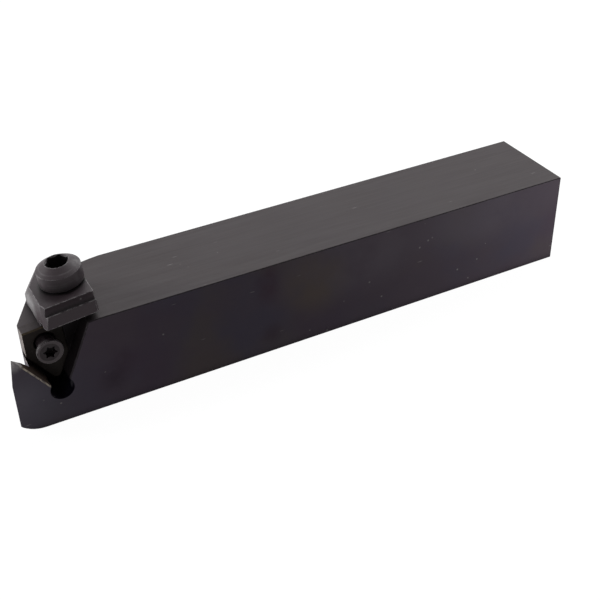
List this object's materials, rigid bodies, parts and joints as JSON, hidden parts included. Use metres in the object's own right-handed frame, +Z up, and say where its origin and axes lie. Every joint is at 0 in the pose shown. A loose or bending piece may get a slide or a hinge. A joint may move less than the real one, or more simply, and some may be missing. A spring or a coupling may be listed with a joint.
{
  "type": "turning tool holder",
  "caption": "Square-shank lathe tool holder with an open pocket for a triangular insert on edge, a lock screw and a top clamp with its screw.",
  "frame": {"origin": "middle of the shank's base, half way along the whole length", "axes": "+X along the shank away from the cutting end, +Z up from the shank's base to its top; the insert pocket opens towards -Y"},
  "size_m": [0.1523, 0.0254, 0.0377],
  "materials": {
    "holder_body": "satin black oxide",
    "seat": "dark brown, matt",
    "lock_screw": "satin grey",
    "clamp": "satin black oxide",
    "clamp_screw": "satin black oxide",
    "retaining_ring": "spring steel"
  },
  "bodies": {
    "holder": {"holder_body": "holder_body", "seat": "seat"},
    "lock_screw": {"lock_screw": "lock_screw"},
    "clamp": {"clamp": "clamp"},
    "clamp_screw": {"clamp_screw": "clamp_screw", "retaining_ring": "retaining_ring"}
  },
  "joints": [
    {"name": "lock_screw_turn", "type": "hinge", "parent": "holder", "child": "lock_screw", "pos_m": [-0.0663, -0.00794, 0.02013], "axis": [0, -1, 0], "continuous": true},
    {"name": "clamp_lift", "type": "slide", "parent": "holder", "child": "clamp", "axis": [-0.0958, 0, 0.9954], "range_m": [0, 0.00363]},
    {"name": "clamp_screw_turn", "type": "hinge", "parent": "clamp", "child": "clamp_screw", "pos_m": [-0.05849, -0.00387, 0.025], "axis": [-0.0958, 0, 0.9954], "range_deg": [0, 1440]}
  ],
  "couplings": [
    {"joint": "clamp_screw_turn", "follows": "clamp_lift", "rad_per_m": 6926.3}
  ]
}
